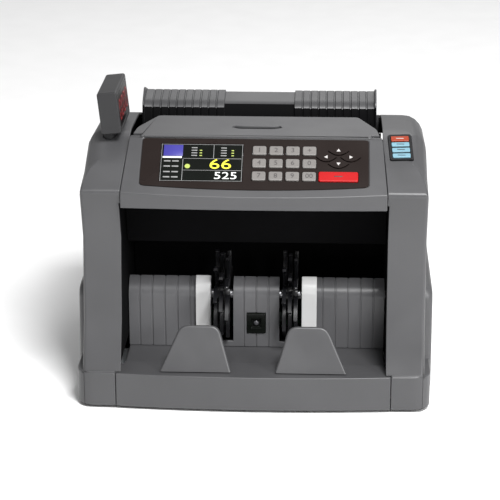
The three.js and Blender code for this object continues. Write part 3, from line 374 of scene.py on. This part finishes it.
def softened(node, coat, width=None, segments=2, angle=32):
    """A copy of a frame node with merged faces and rounded edges, held inside the box of that node."""
    deselect()
    piece = bpy.data.objects.new(node + "_moulding", NODES[node].data.copy())
    bpy.context.scene.collection.objects.link(piece)
    pick(piece)
    bpy.ops.object.mode_set(mode="EDIT")
    bpy.ops.mesh.select_all(action="SELECT")
    bpy.ops.mesh.remove_doubles(threshold=0.000005)
    bpy.ops.mesh.dissolve_limited(angle_limit=math.radians(0.6))
    bpy.ops.object.mode_set(mode="OBJECT")
    apply_modifier(piece, "BEVEL", width=width or shells().edge, segments=segments, limit_method="ANGLE",
                   angle_limit=math.radians(angle), use_clamp_overlap=False)
    low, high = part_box(node)
    for vertex in piece.data.vertices:
        vertex.co = [min(max(value, least), most) for value, least, most in zip(vertex.co, low, high)]
    smooth(piece)
    apply_modifier(piece, "WEIGHTED_NORMAL", keep_sharp=True)
    dress(piece, node + "_moulding", coat, body_of(node))
    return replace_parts(piece, node)


def kept(node, coat):
    """A frame node that stays as it is, with a better finish."""
    materials = NODES[node].data.materials
    materials.clear()
    materials.append(finish(coat))


def block(size, place, bevel=0.0):
    """A block standing on z = 0, its edges rounded where a bevel is given."""
    deselect()
    bpy.ops.mesh.primitive_cube_add(size=1, location=(place[0], place[1], place[2] + size[2] / 2))
    piece = bpy.context.object
    piece.scale = size
    settle(piece)
    if bevel:
        apply_modifier(piece, "BEVEL", width=bevel, segments=2, limit_method="ANGLE")
    smooth(piece)
    return piece


def joined(pieces):
    deselect()
    for piece in pieces:
        piece.select_set(True)
    bpy.context.view_layer.objects.active = pieces[0]
    if len(pieces) > 1:
        bpy.ops.object.join()
    return bpy.context.view_layer.objects.active


def digits(text, height, thick=0.00006):
    """Digits lying on z = 0, centred, as a closed mesh."""
    deselect()
    bpy.ops.object.text_add()
    piece = bpy.context.object
    piece.data.body = text
    piece.data.size = height / CAPITAL_SHARE
    piece.data.align_x = "CENTER"
    piece.data.align_y = "CENTER"
    piece.data.extrude = thick / 2
    piece.data.resolution_u = 3
    bpy.ops.object.convert(target="MESH")
    piece = bpy.context.object
    bpy.ops.object.mode_set(mode="EDIT")
    bpy.ops.mesh.select_all(action="SELECT")
    bpy.ops.mesh.remove_doubles(threshold=0.000001)
    bpy.ops.mesh.normals_make_consistent(inside=False)
    bpy.ops.object.mode_set(mode="OBJECT")
    return piece


def plane_of(joint):
    """The slope that a press joint works through: its normal and how it turns the flat drawing."""
    normal = -Vector(JOINTS[joint]["axis"])
    return normal, math.atan2(-normal.y, normal.z)


def cap_matrix(node, joint, lift, turn=0.0):
    """A place on top of a key, flat on its slope."""
    normal, tilt = plane_of(joint)
    low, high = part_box(node)
    points = [Vector(v.co) for v in NODES[node].data.vertices]
    top = max(p.dot(normal) for p in points)
    middle = (low + high) / 2
    place = middle + normal * (top - middle.dot(normal) + lift)
    return Matrix.Translation(place) @ Matrix.Rotation(tilt, 4, "X") @ Matrix.Rotation(turn, 4, "Z")


# ---------------------------------------------------------------- shells
class COUNTER_OT_covers(bpy.types.Operator):
    """Side covers, top housing, front panel and note stops"""

    bl_idname = "counter.covers"
    bl_label = "Build covers"

    def execute(self, context):
        for node in ("left_side_cover", "right_side_cover"):
            softened(node, "shell", 0.0005)
        softened("top_housing", "shell", 0.0008, segments=3)
        softened("front_panel", "shell", 0.0010, segments=3)
        for node in ("stacker_stop_left", "stacker_stop_right"):
            softened(node, "shell", 0.0004)
        return {"FINISHED"}


class COUNTER_OT_hopper(bpy.types.Operator):
    """Hopper deck and the ribbed rear tray, the tray's steep lower face in painted shade"""

    bl_idname = "counter.hopper"
    bl_label = "Build hopper"

    def execute(self, context):
        softened("hopper_deck", "shell", 0.0005)
        tray = softened("rear_tray", "tray", 0.0003, segments=1)
        tray.data.materials.append(finish("painted_shade"))
        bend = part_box("rear_tray")[1].z - TRAY_BEND_DROP
        # painted shade: front-facing faces below the bend, shaded by the deck, get the near-black finish
        for face in tray.data.polygons:
            if face.center.z < bend and face.normal.y < -0.3:
                face.material_index = 1
        return {"FINISHED"}


class COUNTER_OT_stacker(bpy.types.Operator):
    """Ribbed wall, guide plates, sensor window and finger wheels"""

    bl_idname = "counter.stacker"
    bl_label = "Build stacker"

    def execute(self, context):
        softened("stacker_wall", "wall", 0.0002, segments=1)
        for node in ("guide_plate_left", "guide_plate_right"):
            softened(node, "white", 0.0005)
        softened("sensor_window", "glass", 0.0006)
        for node in ("impeller_left", "impeller_right"):
            self.finger_wheel(node)
        self.lens()
        return {"FINISHED"}

    def finger_wheel(self, node):
        """Three thin fingered leaves, each turned a little from the last, on a plain hub."""
        low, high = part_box(node)
        middle = (low + high) / 2
        shaft = Vector(JOINTS["impeller_turn"]["pos_m"])
        wheel = softened(node, "wheel", 0.0004, segments=1)
        leaves = []
        for index, turn in enumerate(FINGER_TURNS):
            leaf = bpy.data.objects.new("leaf", wheel.data.copy())
            bpy.context.scene.collection.objects.link(leaf)
            centre = Vector((middle.x, shaft.y, shaft.z))
            place = Matrix.Translation(centre + Vector(((index - 1) * LEAF_SPACING, 0, 0)))
            place = place @ Matrix.Rotation(math.radians(turn), 4, "X")
            place = place @ Matrix.Diagonal((LEAF_SHARE, 1, 1, 1))
            leaves.append(settle(leaf, place @ Matrix.Translation(-centre)))
        deselect()
        bpy.ops.mesh.primitive_cylinder_add(
            vertices=40, radius=HUB_RADIUS, depth=high.x - low.x,
            location=(middle.x, shaft.y, shaft.z), rotation=(0, math.pi / 2, 0))
        hub = settle(bpy.context.object)
        apply_modifier(hub, "BEVEL", width=0.0006, segments=2, limit_method="ANGLE")
        smooth(hub)
        made = joined([*leaves, hub])
        bpy.data.objects.remove(wheel)
        dress(made, node + "_fingers", "wheel", "impellers")
        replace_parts(made, node)

    def lens(self):
        low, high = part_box("sensor_window")
        deselect()
        bpy.ops.mesh.primitive_uv_sphere_add(segments=32, ring_count=16, radius=0.0022)
        lens = bpy.context.object
        lens.scale = (1, 0.5, 1)
        settle(lens, Matrix.Translation(((low.x + high.x) / 2, low.y + 0.0010, (low.z + high.z) / 2)))
        smooth(lens)
        dress(lens, "sensor_lens", "lens", "machine")


# ---------------------------------------------------------------- panel
class COUNTER_OT_panel(bpy.types.Operator):
    """Printed film, keycaps with digits, arrow pad and start key"""

    bl_idname = "counter.panel"
    bl_label = "Build control panel"

    def execute(self, context):
        kept("control_overlay", "film")
        for node, text in zip(PANEL_KEYS, KEY_DIGITS):
            softened(node, "key", 0.0004)
            legend = digits(text, panel().legend)
            settle(legend, cap_matrix(node, node + "_press", PRINT_LIFT))
            dress(legend, node + "_legend", "ink", node)
        softened("start_key", "start", 0.0004)
        self.start_bar()
        for node, turn in ARROW_TURNS.items():
            self.arrow(node, turn)
        return {"FINISHED"}

    def start_bar(self):
        bar = block((0.0065, 0.0009, PRINT_THICK), (0, 0, 0), PRINT_EDGE)
        settle(bar, cap_matrix("start_key", "start_key_press", PRINT_LIFT))
        dress(bar, "start_key_mark", "ink", "start_key")

    def arrow(self, node, turn):
        kept(node, "film")
        deselect()
        bpy.ops.mesh.primitive_cylinder_add(vertices=3, radius=0.0019, depth=0.00010)
        mark = bpy.context.object
        apply_modifier(mark, "BEVEL", width=0.00003, segments=1)
        settle(mark, cap_matrix(node, node + "_press", 0.00004, math.radians(turn)))
        dress(mark, node + "_mark", "pale_ink", node)


class COUNTER_OT_display(bpy.types.Operator):
    """Colour display with its generic read-out"""

    bl_idname = "counter.display"
    bl_label = "Build display"

    def execute(self, context):
        softened("display_screen", "glass", 0.0002, segments=1)
        self.place = self.screen_matrix()
        self.frame_lines()
        self.fields()
        return {"FINISHED"}

    def screen_matrix(self):
        """Lower left corner of the display, flat on its slope."""
        normal, tilt = plane_of("key_01_press")
        points = [Vector(v.co) for v in NODES["display_screen"].data.vertices]
        up = Vector((0, math.cos(tilt), math.sin(tilt)))
        top = max(p.dot(normal) for p in points)
        foot = min(p.dot(up) for p in points)
        left = min(p.x for p in points)
        self.width = max(p.x for p in points) - left
        self.height = max(p.dot(up) for p in points) - foot
        corner = normal * (top + 0.00002) + up * foot + Vector((left, 0, 0))
        return Matrix.Translation(corner) @ Matrix.Rotation(tilt, 4, "X")

    def tile(self, name, coat, tiles):
        """Thin lit tiles given as shares of the display: left, foot, right, top."""
        made = []
        for left, foot, right, top in tiles:
            size = ((right - left) * self.width, (top - foot) * self.height, 0.00006)
            place = ((left + right) / 2 * self.width, (foot + top) / 2 * self.height, 0)
            made.append(block(size, place, PRINT_EDGE))
        tiles_mesh = settle(joined(made), self.place)
        dress(tiles_mesh, name, coat, "machine")

    def frame_lines(self):
        lines = [(0.268, 0.0, 0.274, 0.6), (0.275, 0.605, 0.985, 0.614), (0.275, 0.288, 0.985, 0.297)]
        lines += [(0.64, 0.62, 0.646, 0.985), (0.004, 0.0, 0.009, 1.0), (0.991, 0.0, 0.996, 1.0),
                  (0.0, 0.988, 1.0, 0.996), (0.0, 0.004, 1.0, 0.012)]
        self.tile("display_lines", "dim_line", lines)
        self.tile("display_rule", "lit_white", [(0.02, 0.62, 0.255, 0.665)])

    def fields(self):
        self.tile("display_blue_field", "lit_blue", [(0.03, 0.675, 0.265, 0.975)])
        rows = [(left, foot, left + wide, foot + 0.032)
                for foot in (0.52, 0.38, 0.23, 0.09) for left, wide in ((0.04, 0.08), (0.14, 0.08))]
        rows += [(left, foot, left + 0.07, foot + 0.026)
                 for left in (0.37, 0.73) for foot in (0.89, 0.82, 0.75, 0.68)]
        self.tile("display_marks", "dim_line", rows)
        self.tile("display_counts", "lit_green", [
            (left, foot, left + 0.03, foot + 0.026) for left in (0.47, 0.86) for foot in (0.82, 0.75, 0.68)])
        self.dot()
        self.number("display_count", str(panel().readout), "lit_yellow", 0.0098, (0.73, 0.45), 1.35)
        self.number("display_total", "525", "lit_white", 0.0070, (0.80, 0.145), 1.3)

    def dot(self):
        deselect()
        bpy.ops.mesh.primitive_cylinder_add(vertices=24, radius=0.0022, depth=0.00008,
                                            location=(0.33 * self.width, 0.40 * self.height, 0.00004))
        dot = bpy.context.object
        apply_modifier(dot, "BEVEL", width=0.00002, segments=1, limit_method="ANGLE")
        settle(dot, self.place)
        dress(dot, "display_dot", "lit_green", "machine")

    def number(self, name, text, coat, height, share, wide):
        made = digits(text, height)
        made.scale = (wide, 1, 1)
        made.location = (share[0] * self.width, share[1] * self.height, 0.00003)
        bpy.context.view_layer.update()
        settle(made, self.place)
        dress(made, name, coat, "machine")


class COUNTER_OT_side_keypad(bpy.types.Operator):
    """Side keypad film and its four keys"""

    bl_idname = "counter.side_keypad"
    bl_label = "Build side keypad"

    def execute(self, context):
        kept("side_keypad_overlay", "dark")
        coats = ("orange", "blue", "blue", "blue")
        slots = ("orange_plastic", "blue_plastic", "blue_plastic", "blue_plastic")
        for node, coat, slot in zip(SIDE_KEYS, coats, slots):
            softened(node, coat, 0.0004)
            bar = block((0.0062, 0.0008, PRINT_THICK), (0, 0, 0), PRINT_EDGE)
            settle(bar, cap_matrix(node, node + "_press", PRINT_LIFT))
            dress(bar, node + "_mark", "pale_ink" if coat == "orange" else "ink", node)
        return {"FINISHED"}


class COUNTER_OT_pod(bpy.types.Operator):
    """Swivelling pod with its red segment read-out"""

    bl_idname = "counter.pod"
    bl_label = "Build display pod"

    def execute(self, context):
        softened("pod_neck", "dark", 0.0004)
        softened("pod_housing", "pod_shell", 0.0004)
        softened("pod_window", "pod_glass", 0.0002, segments=1)
        self.segments()
        return {"FINISHED"}

    def segments(self):
        """A row of zeros, each of six bars, on the face of the window."""
        points = [Vector(v.co) for v in NODES["pod_window"].data.vertices]
        high = max(points, key=lambda p: p.z).z
        face = [p for p in points if p.z > high - 0.0006]
        foot = min(points, key=lambda p: p.z).z
        lower = [p for p in points if p.z < foot + 0.0006]
        top_x = max(p.x for p in face)
        low_x = max(p.x for p in lower)
        lean = math.atan2(top_x - low_x, high - foot)
        front = min(p.y for p in points)
        length = max(p.y for p in points) - front
        tall, wide = 0.015, 0.0085
        bars = []
        for figure in range(POD_FIGURES):
            at = (figure + 0.5) * length / POD_FIGURES - length / 2
            bars += self.figure_bars(at, tall, wide)
        piece = joined(bars)
        turned = Matrix.Translation(((top_x + low_x) / 2 + 0.00012, front + length / 2, (high + foot) / 2))
        turned = turned @ Matrix.Rotation(lean, 4, "Y") @ Matrix.Rotation(math.pi / 2, 4, "Z")
        settle(piece, turned @ Matrix.Rotation(math.pi / 2, 4, "X"))
        dress(piece, "pod_figures", "lit_red", "pod")

    def figure_bars(self, at, tall, wide):
        half, thick = tall / 2, 0.0016
        level_bar = (wide - thick, thick, BAR_THICK)
        upright_bar = (thick, half - thick, BAR_THICK)
        bars = [block(level_bar, (at, level, 0), BAR_EDGE) for level in (-half, half)]
        for side in (-1, 1):
            for level in (-half / 2, half / 2):
                bars.append(block(upright_bar, (at + side * wide / 2, level, 0), BAR_EDGE))
        return bars


# ---------------------------------------------------------------- rear, inside and underside
class COUNTER_OT_rear(bpy.types.Operator):
    """Rear cover, mains inlet, rocker switch, gap knob and screws"""

    bl_idname = "counter.rear"
    bl_label = "Build rear"

    def execute(self, context):
        softened("rear_cover", "shell", 0.0004)
        softened("power_inlet", "dark", 0.0003, segments=1)
        softened("rocker_switch", "start", 0.0004)
        softened("feed_gap_knob", "dark", 0.0006)
        self.knob_line()
        self.screws()
        return {"FINISHED"}

    def knob_line(self):
        low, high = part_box("feed_gap_knob")
        line = block((0.0012, 0.0070, 0.00030), (0, 0, 0), 0.0001)
        settle(line, Matrix.Translation(((low.x + high.x) / 2, low.y + 0.0050, high.z - 0.0002)))
        dress(line, "feed_gap_knob_line", "pale_ink", "gap_knob")

    def screw(self):
        """A pan-head screw with a cross recess, its head towards +Z."""
        deselect()
        bpy.ops.mesh.primitive_cylinder_add(vertices=32, radius=0.0030, depth=0.0016)
        head = bpy.context.object
        apply_modifier(head, "BEVEL", width=0.0005, segments=3, limit_method="ANGLE")
        for size in ((0.0034, 0.0007, 0.0020), (0.0007, 0.0034, 0.0020)):
            slot = block(size, (0, 0, 0.0002))
            cut = head.modifiers.new("recess", "BOOLEAN")
            cut.object = slot
            cut.solver = "EXACT"
            pick(head)
            bpy.ops.object.modifier_apply(modifier=cut.name)
            bpy.data.objects.remove(slot)
        smooth(head)
        return head

    def screws(self):
        low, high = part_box("rear_cover")
        spots = [(x, z) for x in (low.x + SCREW_INSET, high.x - SCREW_INSET) for z in SCREW_HEIGHTS]
        first = self.screw()
        for index, (x, z) in enumerate(spots):
            copy = bpy.data.objects.new("rear_screw", first.data.copy())
            bpy.context.scene.collection.objects.link(copy)
            place = Matrix.Translation((x, high.y + 0.0004, z)) @ Matrix.Rotation(-math.pi / 2, 4, "X")
            settle(copy, place)
            dress(copy, "rear_screw_%d" % (index + 1), "zinc", "machine")
        bpy.data.objects.remove(first)


class COUNTER_OT_inside(bpy.types.Operator):
    """Shafts, rollers, motor, belt, plates, board and feet; chute and frame plates in painted shade"""

    bl_idname = "counter.inside"
    bl_label = "Build inside"

    def execute(self, context):
        kept("base_tray", "zinc")
        # painted shade: the frame plates seen through the gaps between the covers are made near-black
        for node in ("left_frame_plate", "right_frame_plate"):
            kept(node, "painted_shade")
        kept("impeller_shaft", "steel")
        kept("motor_pulley", "steel")
        kept("drive_belt", "rubber")
        kept("main_board", "board")
        softened("main_motor", "steel", 0.0005)
        # painted shade: the chute inside the mouth is made near-black where it lies in shade
        softened("note_chute", "painted_shade", 0.0003, segments=1)
        for node in ("feed_shaft", "retard_roller"):
            self.roller(node)
        for node in sorted(n for n in NODES if n.startswith("foot_")):
            softened(node, "rubber", 0.0006)
        return {"FINISHED"}

    def roller(self, node):
        """Rubber on the rollers and bare steel on the shaft between them."""
        made = softened(node, "rubber", 0.0004, segments=1)
        made.data.materials.append(finish("steel"))
        low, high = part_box(node)
        middle = (low + high) / 2
        for face in made.data.polygons:
            away = Vector((0, face.center.y - middle.y, face.center.z - middle.z))
            if away.length < ROLLER_SHAFT_RADIUS or abs(face.center.x) > ROLLER_END:
                face.material_index = 1


# ---------------------------------------------------------------- stage
class COUNTER_OT_stage(bpy.types.Operator):
    """Pale sweep, softboxes, world and camera"""

    bl_idname = "counter.stage"
    bl_label = "Build stage"

    def execute(self, context):
        self.sweep()
        self.world(context)
        self.lights(context)
        self.camera(context)
        return {"FINISHED"}

    def sweep(self):
        deselect()
        bpy.ops.mesh.primitive_plane_add(size=8)
        floor = bpy.context.object
        dress(floor, "floor", "floor", "machine")

    def world(self, context):
        world = bpy.data.worlds.new("studio")
        context.scene.world = world
        world.use_nodes = True
        shade = world.node_tree.nodes["Background"]
        shade.inputs["Color"].default_value = (1.0, 1.0, 1.0, 1.0)
        shade.inputs["Strength"].default_value = WORLD_STRENGTH
        context.scene.view_settings.view_transform = "Standard"

    def softbox(self, name, place, size, power):
        bpy.ops.object.light_add(type="AREA", location=place)
        light = bpy.context.object
        light.name = name
        light.data.size = size
        light.data.energy = power
        towards = Vector((0, 0, 0.1)) - Vector(place)
        light.rotation_euler = towards.to_track_quat("-Z", "Y").to_euler()

    def lights(self, context):
        power = context.scene.counter_stage.key_power
        self.softbox("front_softbox", (0.5, -1.15, 1.75), 0.6, power)
        self.softbox("right_softbox", (1.5, -1.3, 0.9), 0.7, power * 0.35)
        self.softbox("rear_softbox", (0.3, 1.5, 1.5), 1.2, power * 0.12)

    def camera(self, context):
        settings = context.scene.counter_stage
        back = Vector((math.sin(settings.turn) * math.cos(settings.rise),
                       -math.cos(settings.turn) * math.cos(settings.rise), math.sin(settings.rise)))
        bpy.ops.object.camera_add(location=Vector((0, 0, LOOK_AT_HEIGHT)) + back * settings.distance)
        camera = bpy.context.object
        camera.rotation_euler = (-back).to_track_quat("-Z", "Y").to_euler()
        camera.data.lens = LENS
        camera.data.sensor_width = 36.0
        camera.data.shift_x, camera.data.shift_y = LENS_SHIFT
        camera.data.dof.use_dof = False
        context.scene.camera = camera


class COUNTER_PT_sidebar(bpy.types.Panel):
    """Settings and building steps"""

    bl_idname = "COUNTER_PT_sidebar"
    bl_label = "Banknote counter"
    bl_space_type = "VIEW_3D"
    bl_region_type = "UI"
    bl_category = "Counter"

    def draw(self, context):
        scene = context.scene
        for group in (scene.counter_shell, scene.counter_panel, scene.counter_stage):
            for name in group.__annotations__:
                self.layout.prop(group, name)
        for operator in OPERATORS:
            self.layout.operator(operator.bl_idname)


OPERATORS = (
    COUNTER_OT_covers,
    COUNTER_OT_hopper,
    COUNTER_OT_stacker,
    COUNTER_OT_panel,
    COUNTER_OT_display,
    COUNTER_OT_side_keypad,
    COUNTER_OT_pod,
    COUNTER_OT_rear,
    COUNTER_OT_inside,
    COUNTER_OT_stage,
)
GROUPS = (CounterShellSettings, CounterPanelSettings, CounterStageSettings)


def register():
    for cls in (*GROUPS, *OPERATORS, COUNTER_PT_sidebar):
        bpy.utils.register_class(cls)
    bpy.types.Scene.counter_shell = bpy.props.PointerProperty(type=CounterShellSettings)
    bpy.types.Scene.counter_panel = bpy.props.PointerProperty(type=CounterPanelSettings)
    bpy.types.Scene.counter_stage = bpy.props.PointerProperty(type=CounterStageSettings)


def unregister():
    del bpy.types.Scene.counter_shell
    del bpy.types.Scene.counter_panel
    del bpy.types.Scene.counter_stage
    for cls in reversed((*GROUPS, *OPERATORS, COUNTER_PT_sidebar)):
        bpy.utils.unregister_class(cls)


def main():
    register()
    bpy.ops.counter.covers()
    bpy.ops.counter.hopper()
    bpy.ops.counter.stacker()
    bpy.ops.counter.panel()
    bpy.ops.counter.display()
    bpy.ops.counter.side_keypad()
    bpy.ops.counter.pod()
    bpy.ops.counter.rear()
    bpy.ops.counter.inside()
    bpy.ops.counter.stage()


if __name__ == "__main__":
    main()
